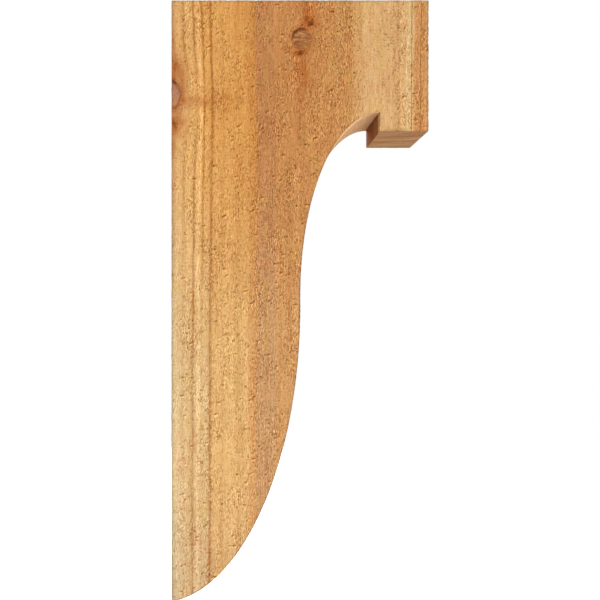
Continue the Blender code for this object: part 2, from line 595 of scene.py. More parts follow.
def ellipse_run(centre, across, down, start, end, steps):
    """Points (x, z) on an ellipse about centre, from one angle to another, both from +X towards +Z."""
    angle = np.linspace(start, end, steps + 1)
    return np.stack([centre[0] + across * np.cos(angle), centre[1] + down * np.sin(angle)], axis=1)


def outline_runs(sizes):
    """The outline's stretches in order, anticlockwise seen from -Y: (points, how the face was sawn)."""
    top = sizes.height / 2
    inner_face = sizes.projection - sizes.foot_width
    crown = top - sizes.crown_drop
    foot = crown - sizes.foot_drop
    sweep_across = sizes.waist_depth + sizes.sweep_setback
    sweep_centre = (-sizes.sweep_setback, crown - sizes.arch_rise - sizes.waist_run)
    tip_angle = -math.acos(sizes.sweep_setback / sweep_across)
    sweep_down = (sweep_centre[1] + top) / -math.sin(tip_angle)
    sweep = ellipse_run(sweep_centre, sweep_across, sweep_down, tip_angle, 0.0, CURVE_POINTS)
    arch_centre = (inner_face, crown - sizes.arch_rise)
    arch_across = inner_face - sizes.waist_depth
    arch = ellipse_run(arch_centre, arch_across, sizes.arch_rise, math.pi, math.pi / 2, CURVE_POINTS)
    corners = [
        (inner_face, crown),
        (inner_face, foot),
        (sizes.projection, foot),
        (sizes.projection, top),
        (0.0, top),
        (0.0, -top),
    ]
    runs = [(np.concatenate([sweep, arch]), CURVED)]
    for i, kind in enumerate((CROSSCUT, CROSSCUT, RIPPED, CROSSCUT, RIPPED)):
        runs.append((np.array(corners[i : i + 2]), kind))
    return runs


def even_steps(path, step):
    """Points evenly spaced along a path, its last point left out."""
    gaps = np.hypot(*np.diff(path, axis=0).T)
    run = np.concatenate([[0.0], np.cumsum(gaps)])
    count = max(2, int(round(run[-1] / step)))
    wanted = np.linspace(0, run[-1], count + 1)[:-1]
    return np.stack([np.interp(wanted, run, path[:, axis]) for axis in (0, 1)], axis=1)


def sampled_outline(sizes, step):
    """The closed outline as even points, how each was sawn, and how far along the outline each is."""
    points, kinds = [], []
    for path, kind in outline_runs(sizes):
        stretch = even_steps(path, step)
        points.append(stretch)
        kinds.append(np.full(len(stretch), kind))
    points = rounded_corners(np.concatenate(points), sizes.worn_corner)
    gaps = np.hypot(*np.diff(points, axis=0).T)
    return points, np.concatenate(kinds), np.concatenate([[0.0], np.cumsum(gaps)])


def rounded_corners(points, radius):
    """Pulls each square outer corner in as far as a fillet of that radius would, its neighbours with it."""
    before = points - np.roll(points, 1, axis=0)
    after = np.roll(points, -1, axis=0) - points
    turn = before[:, 0] * after[:, 1] - before[:, 1] * after[:, 0]
    turn /= np.hypot(*before.T) * np.hypot(*after.T)
    moved = points.copy()
    for i in np.nonzero(turn > 0.5)[0]:
        back = -before[i] / np.hypot(*before[i])
        ahead = after[i] / np.hypot(*after[i])
        moved[i] = points[i] + radius * (1 - math.sqrt(0.5)) * (back + ahead)
        moved[i - 1] = points[i] + back * radius
        moved[(i + 1) % len(points)] = points[i] + ahead * radius
    return moved


def outward(points):
    """The outline's outward direction at each point, longer at a corner so that an inset keeps its width."""
    edge = np.roll(points, -1, axis=0) - points
    edge /= np.hypot(*edge.T)[:, None]
    normal = np.stack([edge[:, 1], -edge[:, 0]], axis=1)
    before = np.roll(normal, 1, axis=0)
    return (normal + before) / (1 + np.sum(normal * before, axis=1))[:, None]


def inside_outline(candidates, loop, margin):
    """Which points (n, 2) lie inside the closed loop, and more than margin away from its points."""
    start, end = loop, np.roll(loop, -1, axis=0)
    rise = end[:, 1] - start[:, 1]
    lean = (end[:, 0] - start[:, 0]) / np.where(rise == 0, 1.0, rise)
    kept = np.zeros(len(candidates), dtype=bool)
    for first in range(0, len(candidates), CHUNK):
        x, z = np.hsplit(candidates[first : first + CHUNK], 2)
        crosses = (start[:, 1] > z) != (end[:, 1] > z)
        hit = crosses & (x < start[:, 0] + (z - start[:, 1]) * lean)
        gap = np.min((x - start[:, 0]) ** 2 + (z - start[:, 1]) ** 2, axis=1)
        kept[first : first + CHUNK] = (hit.sum(axis=1) % 2 == 1) & (gap > margin**2)
    return kept


def gap_to_loop(spots, loop):
    """How far each spot (n, 2) lies from the closed loop."""
    along = np.roll(loop, -1, axis=0) - loop
    square = np.sum(along**2, axis=1)
    gaps = []
    for first in range(0, len(spots), CHUNK):
        from_start = spots[first : first + CHUNK, None, :] - loop[None]
        share = np.clip(np.sum(from_start * along, axis=2) / square, 0, 1)
        gaps.append(np.hypot(*np.moveaxis(from_start - share[:, :, None] * along, 2, 0)).min(axis=1))
    return np.concatenate(gaps)


JITTER = 0.22  # how far a grid point strays, in steps
RIM_GAP = 0.62  # how close a grid point may come to the loop, in steps


def face_grid(loop, step_x, step_z, seed):
    """A fine triangulation inside the closed loop. Its points are the loop's own and then the inner ones."""
    generator = np.random.default_rng(seed)
    scale = np.array([step_x, step_z])
    scaled = loop / scale
    low, high = scaled.min(axis=0), scaled.max(axis=0)
    columns = np.arange(math.floor(low[0]), math.ceil(high[0]) + 1)
    rows = np.arange(math.floor(low[1]), math.ceil(high[1]) + 1)
    grid_x, grid_z = np.meshgrid(columns.astype(float), rows.astype(float))
    grid_x += 0.5 * (np.arange(len(rows)) % 2)[:, None]
    candidates = np.stack([grid_x.ravel(), grid_z.ravel()], axis=1)
    candidates += generator.uniform(-JITTER, JITTER, candidates.shape)
    inner = candidates[inside_outline(candidates, scaled, RIM_GAP)]
    points = np.concatenate([scaled, inner])
    ring = [(i, (i + 1) % len(loop)) for i in range(len(loop))]
    made = delaunay_2d_cdt([tuple(p) for p in points], ring, [], 0, 1e-9, True)
    sources = np.array([group[0] for group in made[3]])
    triangles = sources[np.array(made[2])]
    middles = points[triangles].mean(axis=1)
    return points * scale, triangles[inside_outline(middles, scaled, 0.0)]


# The meshes


# What each vertex keeps for the materials to read
# Two of these carry painted light under the arch and painted shade behind the foot.
RIM_FIELDS = ("end_grain", "curved", "scorch", "arris")  # 0 on the fibres
TONE_FIELDS = ("band", "ring", "line", "heart", "bark", "knot", "halo") + RIM_FIELDS
FIELD_NAMES = TONE_FIELDS + ("tear", "lean", "relief")


def solid_from(name, vertices, triangles, quads, fields):
    """A smooth mesh from arrays of vertices, triangles and four-sided faces, with a value of each field."""
    mesh = bpy.data.meshes.new(name)
    corners = np.concatenate([triangles.ravel(), quads.ravel()])
    counts = np.concatenate([np.full(len(triangles), 3), np.full(len(quads), 4)])
    mesh.vertices.add(len(vertices))
    mesh.vertices.foreach_set("co", vertices.astype(np.float32).ravel())
    mesh.loops.add(len(corners))
    mesh.loops.foreach_set("vertex_index", corners.astype(np.int32))
    mesh.polygons.add(len(counts))
    mesh.polygons.foreach_set("loop_start", np.concatenate([[0], np.cumsum(counts)[:-1]]).astype(np.int32))
    mesh.update(calc_edges=True)
    if mesh.validate():
        raise RuntimeError(f"{name} has a broken face")
    for field in FIELD_NAMES:
        kept = mesh.attributes.new(field, "FLOAT", "POINT")
        kept.data.foreach_set("value", fields[field].astype(np.float32))
    mesh.shade_smooth()
    return mesh


# The grids of the two broad faces: which way each faces, its steps across and up, and its seed
FACE_GRIDS = ((-1, 0.00125, 0.00180, 71), (1, 0.00200, 0.00330, 72))
EDGE_STEP = 0.0036  # between two rings of points round the edge faces
HALF_WORN = 0.30  # how far in from each face the middle of a worn arris lies, as a share of the wear
HALF_TURN = 0.7071
NICK_DEPTH = 0.0009


def worn_arris(outline, kinds, y, surface, seed):
    """How far the arris at y is worn back at each point of the outline, with a nick here and there."""
    here = np.stack([outline[:, 0], np.full(len(outline), y), outline[:, 1]], axis=1)
    worn = surface.worn_edge * (1 + 0.55 * noise(here, (0.012, 0.05, 0.012), seed))
    worn *= np.where(kinds == CURVED, 0.55, 1.0)
    return worn + NICK_DEPTH * smooth(noise(here, (0.004, 0.05, 0.006), seed + 2), 0.55, 0.8)


def rim_layers(outline, kinds, sizes, surface):
    """Rings of points round the board, from the near face to the far one, and each point's outward direction.

    The first two and the last two rings make the worn arrises, and the others lie on the edge faces.
    """
    half = sizes.thickness / 2
    near = worn_arris(outline, kinds, -half, surface, 61)
    far = worn_arris(outline, kinds, half, surface, 62)
    steps = int(round((sizes.thickness - 0.002) / EDGE_STEP))
    rings = [(-half, near, -1.0), (-half + near * HALF_WORN, near * HALF_WORN, -HALF_TURN)]
    for level in np.arange(steps + 1) / steps:
        rings.append(((near - half) * (1 - level) + (half - far) * level, 0.0, 0.0))
    rings += [(half - far * HALF_WORN, far * HALF_WORN, HALF_TURN), (half, far, 1.0)]

    side = outward(outline)
    flat = np.zeros(len(outline))
    layers, directions = [], []
    for y, inset, turn in rings:
        x, z = outline.T - side.T * inset
        layers.append(np.stack([x, y + flat, z], 1))
        directions.append(np.stack([side[:, 0], flat, side[:, 1]], 1) * math.sqrt(1 - turn**2) + (0, turn, 0))
    return layers, directions


def rim_quads(count, layer_count):
    """Faces between neighbouring rings of count points."""
    along = np.arange(count)
    following = (along + 1) % count
    quads = []
    for near in range(0, (layer_count - 1) * count, count):
        far = near + count
        quads.append(np.stack([near + along, far + along, far + following, near + following], 1))
    return np.concatenate(quads)


def edge_face_fields(rim, kind, direction, depth, sizes):
    """End grain, a painted light on the underside of the arch, and painted shade on the face behind the foot
    and beside it, on the edge faces.
    """
    faceness = np.abs(direction[:, 1])
    end_grain = np.abs(direction[:, 2]) * (1 - faceness) * np.where(kind == CURVED, 0.25, 1.0)
    # Where the painted light under the arch goes: the upper part of the curved face.
    curved = (kind == CURVED) * (1 - faceness) * smooth(rim[:, 2], 0.10, 0.19)
    notch_x = sizes.projection - sizes.foot_width
    notch_z = sizes.height / 2 - sizes.crown_drop
    from_notch = np.hypot(rim[:, 0] - notch_x, rim[:, 2] - notch_z)
    # Painted shade on the inner face behind the foot, deeper in from the near face, fading out along the arch
    # beside the notch.
    on_foot = np.abs(rim[:, 0] - notch_x) < 0.0008
    beside = 0.45 * (1 - smooth(from_notch, 0.002, 0.016))
    scorch = np.where(on_foot, smooth(depth, 0.006, 0.016), beside)
    scorch *= (from_notch < 0.035) * (1 - smooth(faceness, 0.3, 0.6))
    return {"end_grain": np.clip(end_grain, 0, 1), "curved": curved, "scorch": scorch}


def board_mesh(sizes, surface):
    """The whole board as one closed mesh, with every surface as rough as the saw left it."""
    outline, kinds, run = sampled_outline(sizes, BOARD_STEP)
    layers, directions = rim_layers(outline, kinds, sizes, surface)
    count = len(outline)
    rim = np.concatenate(layers)
    on_rim = slice(0, len(rim))
    points, faces = [rim], []
    arris = [smooth(np.abs(np.concatenate(directions)[:, 1]), 0.3, 0.6)]
    filled = len(rim)
    for sign, step_x, step_z, seed in FACE_GRIDS:
        ring_start = 0 if sign < 0 else len(rim) - count
        loop = rim[ring_start : ring_start + count, [0, 2]]
        flat, triangles = face_grid(loop, step_x, step_z, seed)
        inner = flat[count:]
        level = np.full(len(inner), sign * sizes.thickness / 2)
        points.append(np.stack([inner[:, 0], level, inner[:, 1]], 1))
        directions.append(np.tile((0.0, sign, 0.0), (len(inner), 1)))
        arris.append(1 - smooth(gap_to_loop(inner, loop), 0.0, 0.0030))
        index = np.concatenate([ring_start + np.arange(count), filled + np.arange(len(inner))])
        faces.append((index[triangles], sign))
        filled += len(inner)
    points = np.concatenate(points)
    direction = np.concatenate(directions)

    fields = wood_fields(points, sizes)
    fields["arris"] = np.concatenate(arris)
    depth = ripped_relief(points, fields, surface)
    kind = np.tile(kinds, len(layers))
    faceness = np.abs(direction[on_rim, 1])
    rim_fields = {name: values[on_rim] for name, values in fields.items()}
    crosscut = crosscut_relief(rim, rim_fields, surface, np.tile(run, len(layers)))
    own = np.where(kind == RIPPED, depth[on_rim], crosscut)
    depth[on_rim] = own * (1 - faceness) + depth[on_rim] * faceness
    # The skin's height, 0 deep to 1 high, which the materials turn into painted shade in the dips and a
    # painted highlight on the crests.
    fields["relief"] = np.clip(0.5 + (surface.skin - depth) / 0.0008, 0, 1)
    edge_relief = 0.5 + (own.mean() - own) / 0.0018
    fields["relief"][on_rim] = np.where(faceness < 0.5, edge_relief, fields["relief"][on_rim])
    for name, values in edge_face_fields(rim, kind, direction[on_rim], rim_fields["depth"], sizes).items():
        fields[name] = np.zeros(len(points))
        fields[name][on_rim] = values
    fields["tear"][on_rim] *= np.where(kind == RIPPED, 0.8, 0.25) * (1 - faceness) + faceness

    vertices = points - direction * depth[:, None]
    triangles = np.concatenate([facing(corners, vertices, sign) for corners, sign in faces])
    mesh = solid_from("cedar_board", vertices, triangles, rim_quads(count, len(layers)), fields)
    mesh.set_sharp_from_angle(angle=math.radians(62))
    return mesh


# The rings of a torn fibre, root to tip: shares of its length, its width and its lift
FIBRE_RINGS = ((0.0, 0.7, 0.1), (0.45, 1.0, 0.6), (1.0, 0.2, 1.0))
FIBRE_SINK = 0.00012  # how far the edges of a fibre lie below the skin, near its root
TRIES_PER_FIBRE = 14


def fibre_triangles(count, sign):
    """The triangles of count closed fibres, each of three rings of three points."""
    corners = [(0, 1, 2), (8, 7, 6)]
    for level in (0, 3):
        for corner in range(3):
            here, there = level + corner, level + (corner + 1) % 3
            corners += [(here, here + 3, there + 3), (here, there + 3, there)]
    triangles = (9 * np.arange(count)[:, None, None] + np.array(corners)[None]).reshape(-1, 3)
    return triangles[:, ::-1] if sign < 0 else triangles


def fibres_mesh(sizes, surface, name, sign, seed):
    """Torn fibres rooted in one broad face: closed slivers lying along the grain, their tips lifted."""
    generator = np.random.default_rng(seed)
    outline = sampled_outline(sizes, FIBRE_STEP)[0]
    flat = generator.uniform(outline.min(axis=0), outline.max(axis=0), (TRIES_PER_FIBRE * surface.fibres, 2))
    flat = flat[inside_outline(flat, outline, 0.0035)]
    roots = np.stack([flat[:, 0], np.full(len(flat), sign * sizes.thickness / 2), flat[:, 1]], 1)
    fields = wood_fields(roots, sizes)
    clumps = 0.35 + 0.65 * smooth(noise(roots, (0.005, 0.05, 0.008), seed), -0.1, 0.5)
    rooted = generator.random(len(roots)) < fields["tear"] * clumps
    roots = roots[rooted]
    count = len(roots)
    long = surface.fibre_length * generator.uniform(0.35, 1.0, count)
    lean = np.radians(generator.normal(0.0, 12.0, count)) + surface.stroke_lean * fields["lean"][rooted]
    lean += grain_lean(roots, roots[:, 1] + sizes.thickness / 2)
    along = np.stack([np.sin(lean), np.cos(lean)], 1)
    along *= np.where(generator.random(count) < 0.75, 1, -1)[:, None]
    tips = roots[:, [0, 2]] + along * long[:, None]
    kept = np.nonzero(inside_outline(tips, outline, 0.0022))[0][: surface.fibres]
    roots, long, along = roots[kept], long[kept], along[kept]
    count = len(roots)
    wide = surface.fibre_width * generator.uniform(0.45, 1.0, count)
    lift = generator.uniform(0.00015, 0.00060, count)
    aside = np.stack([along[:, 1], -along[:, 0]], 1)
    vertices = []
    for share, breadth, rise in FIBRE_RINGS:
        for side in (-0.5, 0.0, 0.5):
            spot = roots.copy()
            spot[:, [0, 2]] += along * (long * share)[:, None] + aside * (wide * breadth * side)[:, None]
            skin = ripped_relief(spot, wood_fields(spot, sizes), surface)
            raised = lift * rise if side == 0.0 else lift * max(rise - 0.75, 0.0) * 2 - FIBRE_SINK
            spot[:, 1] -= sign * np.clip(skin - raised, LEAST_SKIN, None)
            vertices.append(spot)
    vertices = np.stack(vertices, axis=1).reshape(-1, 3)
    fields = wood_fields(vertices, sizes)
    fields["relief"] = np.full(len(vertices), 0.6)
    for field in RIM_FIELDS:
        fields[field] = np.zeros(len(vertices))
    return solid_from(name, vertices, fibre_triangles(count, sign), np.zeros((0, 4), dtype=int), fields)


def facing(triangles, vertices, sign):
    """The triangles with their corners ordered so that they face along sign times Y."""
    a, b, c = (vertices[triangles[:, i]] for i in range(3))
    normal_y = (b[:, 2] - a[:, 2]) * (c[:, 0] - a[:, 0]) - (b[:, 0] - a[:, 0]) * (c[:, 2] - a[:, 2])
    wrong = normal_y * sign < 0
    triangles = triangles.copy()
    triangles[wrong] = triangles[wrong][:, ::-1]
    return triangles


# The materials


class Graph:
    """Short ways of adding nodes to one node tree."""

    def __init__(self, tree):
        self.tree = tree

    def node(self, kind, inputs=(), **settings):
        """A node with its settings, its inputs linked or set."""
        made = self.tree.nodes.new(kind)
        for name, value in settings.items():
            setattr(made, name, value)
        for name, value in dict(inputs).items():
            self.feed(made.inputs[name], value)
        return made

    def feed(self, socket, value):
        if isinstance(value, bpy.types.NodeSocket):
            self.tree.links.new(value, socket)
        else:
            socket.default_value = value

    def attribute(self, name):
        return self.node("ShaderNodeAttribute", attribute_name=name).outputs["Fac"]

    def math(self, operation, *values):
        return self.node("ShaderNodeMath", enumerate(values), operation=operation).outputs[0]

    def times(self, first, second):
        return self.math("MULTIPLY", first, second)

    def scaled(self, vector, sizes):
        return self.node("ShaderNodeVectorMath", {0: vector, 1: sizes}, operation="MULTIPLY").outputs[0]

    def moved(self, vector, offset):
        return self.node("ShaderNodeVectorMath", {0: vector, 1: offset}, operation="SUBTRACT").outputs[0]

    def turned(self, vector, angle):
        """The vector turned about the board's thickness."""
        inputs = {"Vector": vector, "Angle": angle}
        return self.node("ShaderNodeVectorRotate", inputs, rotation_type="Y_AXIS").outputs[0]

    def between(self, share, first, second):
        return self.node("ShaderNodeMix", {0: share, 2: first, 3: second}).outputs[0]

    def noise(self, vector, detail=2.0, rough=0.5, distortion=0.0):
        inputs = {"Vector": vector, "Scale": 1.0, "Detail": detail, "Roughness": rough}
        inputs["Distortion"] = distortion
        return self.node("ShaderNodeTexNoise", inputs).outputs["Fac"]

    def step(self, value, low, high):
        """0 where value is at low, 1 where it is at high, smooth between. low may be above high."""
        flip = low > high
        inputs = {
            "Value": value,
            "From Min": high if flip else low,
            "From Max": low if flip else high,
            "To Min": 1.0 if flip else 0.0,
            "To Max": 0.0 if flip else 1.0,
        }
        return self.node("ShaderNodeMapRange", inputs, interpolation_type="SMOOTHSTEP").outputs["Result"]

    def mix(self, share, first, second, blend_type="MIX"):
        inputs = {0: share, 6: first, 7: second}
        return self.node("ShaderNodeMix", inputs, data_type="RGBA", blend_type=blend_type).outputs[2]

    def over(self, base, shade, share, most):
        """base with a colour laid over it, as far as share says, times most."""
        return self.mix(self.times(share, most), base, shade)

    def tint(self, base, shade, share, most):
        """base multiplied by a colour, as far as share says, times most."""
        return self.mix(self.times(share, most), base, shade, "MULTIPLY")

    def ramp(self, value, stops):
        made = self.node("ShaderNodeValToRGB", {"Fac": value})
        while len(made.color_ramp.elements) < len(stops):
            made.color_ramp.elements.new(1.0)
        for element, (place, shade) in zip(made.color_ramp.elements, stops):
            element.position = place
            element.color = shade
        return made.outputs["Color"]

    def group(self, tree, inputs):
        return self.node("ShaderNodeGroup", inputs, node_tree=tree).outputs


def new_group(name, inputs, outputs):
    """A new shader node group: its tree, a Graph for it, its input sockets by name, and its output node."""
    tree = bpy.data.node_groups.new(name, "ShaderNodeTree")
    for side, sockets in (("INPUT", inputs), ("OUTPUT", outputs)):
        for socket_name, kind in sockets.items():
            tree.interface.new_socket(name=socket_name, in_out=side, socket_type="NodeSocket" + kind)
    graph = Graph(tree)
    entry = graph.node("NodeGroupInput")
    leave = graph.node("NodeGroupOutput")
    return tree, graph, entry.outputs, leave


# What a pale streak, a dark streak or a plucked hole multiplies the wood's colour by. The same tints also
# paint a highlight on the torn tufts and crests, and shade into the pits and holes.
LIGHTER = (1.36, 1.46, 1.62, 1.0)
DARKER = (0.68, 0.56, 0.36, 1.0)
DEEP = (0.52, 0.37, 0.17, 1.0)
# The same for the greyed tip
WEATHERED = (0.84, 0.85, 0.92, 1.0)


def label(field):
    """A field's name as a socket shows it."""
    return field.replace("_", " ").title()


def tone_stops(shades, names_column, projection):
    """The colour ramp's stops for one column of names in TONE_BANDS."""
    return [(edge * MM / projection, shades[band[names_column]]) for band in TONE_BANDS for edge in band[:2]]


def streaked_wood(g, flow, band, height, wood):
    """The wood's tone with its streaks and threads, greyed towards the tip."""
    broad = g.noise(g.scaled(flow, (140, 140, 7)), 3.0, 0.55)
    wood = g.tint(wood, LIGHTER, g.step(broad, 0.52, 0.78), 0.32)
    wood = g.tint(wood, DARKER, g.step(broad, 0.48, 0.24), 0.28)
    stringy = g.times(g.step(band, 0.096, 0.104), g.step(band, 0.205, 0.180))
    stringy = g.math("MULTIPLY_ADD", stringy, 0.24, 0.22)
    streak = g.noise(g.scaled(flow, (500, 500, 17)), 2.0, 0.6)
    wood = g.tint(wood, DARKER, g.step(streak, 0.50, 0.28), stringy)
    wood = g.tint(wood, LIGHTER, g.step(streak, 0.52, 0.75), stringy)
    thread = g.noise(g.scaled(flow, (1000, 1000, 95)), 2.0, 0.6)
    wood = g.tint(wood, DARKER, g.step(thread, 0.50, 0.30), 0.55)
    wood = g.tint(wood, LIGHTER, g.step(thread, 0.52, 0.72), 0.48)
    return g.mix(g.step(height, -0.18, -0.35), wood, WEATHERED, "MULTIPLY")


def knot_heart(g, position, out, shades):
    """The colour inside a knot: streaked, mottled, and pink in the knot against the wall."""
    streaks = g.noise(g.scaled(position, (140, 60, 560)), 2.0, 0.6)
    heart = g.mix(g.step(out, 0.08, 0.03), shades["knot"], shades["knot_pink"])
    heart = g.over(heart, shades["knot_light"], g.step(streaks, 0.44, 0.62), 0.85)
    mottle = g.noise(g.scaled(position, (420, 420, 420)), 2.0, 0.6)
    return g.tint(heart, DARKER, g.step(mottle, 0.55, 0.42), 0.85)


def cedar_tone_group(colours, sizes):
    """Colour of the solid wood from where it lies in the tree: bands, growth lines, knots, end grain; with a
    painted light under the arch and painted shade behind the foot.
    """
    inputs = {"Position": "Vector"} | {label(field): "Float" for field in TONE_FIELDS}
    tree, g, given, leave = new_group("cedar_tone", inputs, {"Color": "Color", "Latewood": "Float"})
    shades = {name: tuple(getattr(colours, name)) for name in CedarColours.__annotations__}
    out, deep, height = g.node("ShaderNodeSeparateXYZ", {0: given["Position"]}).outputs
    flow = g.node("ShaderNodeCombineXYZ", {0: given["Band"], 1: deep, 2: height}).outputs[0]

    wander = g.math("MULTIPLY_ADD", g.noise(g.scaled(flow, (30, 30, 9))), 0.003, -0.0015)
    place = g.math("DIVIDE", g.math("ADD", given["Band"], wander), sizes.projection)
    at_top = g.ramp(place, tone_stops(shades, 2, sizes.projection))
    at_tip = g.ramp(place, tone_stops(shades, 3, sizes.projection))
    wood = g.mix(g.step(height, 0.22, -0.12), at_top, at_tip)
    wood = streaked_wood(g, flow, given["Band"], height, wood)
    blotch = g.noise(g.scaled(flow, (85, 60, 38)), 3.0, 0.6, 0.6)
    wood = g.over(wood, shades["olive"], g.step(blotch, 0.50, 0.68), 0.28)
    wood = g.over(wood, shades["orange"], g.step(blotch, 0.50, 0.32), 0.16)

    beyond = g.math("FRACT", given["Ring"])
    season = g.math("MAXIMUM", g.step(beyond, 0.55, 0.99), g.step(beyond, 0.10, 0.0))
    away = g.math("MINIMUM", beyond, g.math("SUBTRACT", 1.0, beyond))
    core = g.times(g.step(away, 0.21, 0.03), given["Line"])
    gaps = g.noise(g.scaled(flow, (190, 190, 70)), 3.0, 0.7)
    broken = g.math("MULTIPLY_ADD", g.step(gaps, 0.34, 0.62), 0.7, 0.3)
    latewood = g.times(g.times(core, given["Line"]), broken)
    wood = g.over(wood, shades["latewood"], g.times(season, given["Line"]), 0.32)
    wood = g.over(wood, shades["latewood"], latewood, 0.58)

    wood = g.over(wood, shades["russet"], g.math("MINIMUM", given["Halo"], 1.0), 0.85)
    wood = g.over(wood, shades["knot_rim"], g.step(given["Halo"], 0.80, 1.5), 0.8)
    wood = g.over(wood, knot_heart(g, given["Position"], out, shades), given["Heart"], 0.85)
    off_rim = g.math("ABSOLUTE", g.math("SUBTRACT", given["Knot"], 1.0))
    wood = g.over(wood, shades["knot_rim"], g.step(off_rim, 0.20, 0.04), given["Bark"])

    level = g.math("MULTIPLY_ADD", deep, 0.85 * RINGS_PER_DEPTH, g.times(given["Ring"], 0.15))
    per_ring = g.noise(g.node("ShaderNodeCombineXYZ", {0: g.times(level, 0.42)}).outputs[0], 2.0)
    sawn_end = g.mix(g.step(per_ring, 0.42, 0.58), shades["end_dark"], shades["end_light"])
    wood = g.over(wood, sawn_end, given["End Grain"], 0.75)
    # Painted light on the underside of the arch.
    wood = g.over(wood, shades["fresh"], given["Curved"], 0.55)
    # Painted shade behind the foot.
    wood = g.over(wood, shades["scorch"], given["Scorch"], 0.74)
    worn = g.step(g.noise(g.scaled(given["Position"], (60, 60, 60)), 2.0), 0.25, 0.60)
    wood = g.over(wood, shades["grime"], g.times(given["Arris"], worn), 0.38)
    g.feed(leave.inputs["Color"], wood)
    g.feed(leave.inputs["Latewood"], latewood)
    return tree


SPOTS_PER_METRE = (800, 800, 270)  # across, through and along the grain
HOLES_PER_METRE = (140, 300, 250)
HOLE_LEAN = 0.30
# Moves the spots' colour towards the key light from their height, so that pale falls on the lit flanks and
# dark on the shaded ones: painted highlight and painted shade.
LIT_FLANK_OFFSET = (0.00035, 0.0, 0.00012)  # from a spot's height to its colour
CURL_OFFSET = (0.0010, 0.0, -0.0021)  # from a plucked hole to the pale curl beside it


def torn_speckle_group(surface):
    """Small torn spots: light tufts, dark pits, sparse plucked holes, and their height.

    Lean runs from -1 to 1, for slanting strokes. The colours lie a little outward and up from the heights,
    towards the key light, so that the tufts are pale on the flank that faces the light and the pits dark on
    the flank that faces away: a painted highlight and painted shade over the torn wood's own paler and darker
    spots.
    """
    inputs = {"Position": "Vector", "Amount": "Float", "Lean": "Float"}
    outputs = {"Tuft": "Float", "Pit": "Float", "Hole": "Float", "Height": "Float"}
    tree, g, given, leave = new_group("torn_speckle", inputs, outputs)
    towards = g.step(given["Lean"], -0.2, 0.2)
    share = g.math("MULTIPLY_ADD", g.math("ABSOLUTE", given["Lean"]), 0.65, 0.10)

    def spots(offset):
        place = g.moved(given["Position"], offset)
        upright = g.noise(g.scaled(place, SPOTS_PER_METRE), 1.6, 0.55)
        strokes = []
        for angle in (surface.stroke_lean, -surface.stroke_lean):
            strokes.append(g.noise(g.scaled(g.turned(place, angle), SPOTS_PER_METRE), 1.4, 0.5))
        return g.between(share, upright, g.between(towards, *strokes))

    def plucked(offset):
        place = g.turned(g.moved(given["Position"], offset), HOLE_LEAN)
        return g.noise(g.scaled(place, HOLES_PER_METRE), 1.8, 0.6)

    # The spots' colour, taken a little towards the key light: painted highlight and painted shade.
    spots_lit_and_shaded = spots(LIT_FLANK_OFFSET)
    torn = g.step(given["Amount"], 0.05, 0.60)
    hole = g.times(g.step(plucked((0.0, 0.0, 0.0)), 0.640, 0.700), torn)
    curl = g.times(g.step(plucked(CURL_OFFSET), 0.655, 0.695), torn)
    tuft = g.times(g.step(spots_lit_and_shaded, 0.50, 0.64), given["Amount"])
    g.feed(leave.inputs["Tuft"], g.math("MAXIMUM", tuft, curl))
    g.feed(leave.inputs["Pit"], g.times(g.step(spots_lit_and_shaded, 0.48, 0.34), given["Amount"]))
    g.feed(leave.inputs["Hole"], hole)
    height = g.times(spots((0.0, 0.0, 0.0)), given["Amount"])
    g.feed(leave.inputs["Height"], g.math("SUBTRACT", height, g.times(hole, 0.12)))
    return tree


def saw_marks_group(surface):
    """Height of the marks the rip saw left across the grain of the broad faces, from -1 to 1."""
    tree, g, given, leave = new_group("saw_marks", {"Position": "Vector"}, {"Height": "Float"})
    split = g.node("ShaderNodeSeparateXYZ", {0: given["Position"]}).outputs
    drift = g.noise(g.scaled(given["Position"], (18, 18, 18)), 1.0)
    sloping = g.math("MULTIPLY_ADD", split["X"], SAW_SLOPE, split["Z"])
    phase = g.math("MULTIPLY_ADD", drift, 2.5, g.times(sloping, 1 / surface.saw_pitch))
    wave = g.math("SINE", g.times(phase, 2 * math.pi))
    strength = g.step(g.noise(g.scaled(given["Position"], (22, 22, 60)), 2.0), 0.35, 0.60)
    g.feed(leave.inputs["Height"], g.times(wave, strength))
    return tree


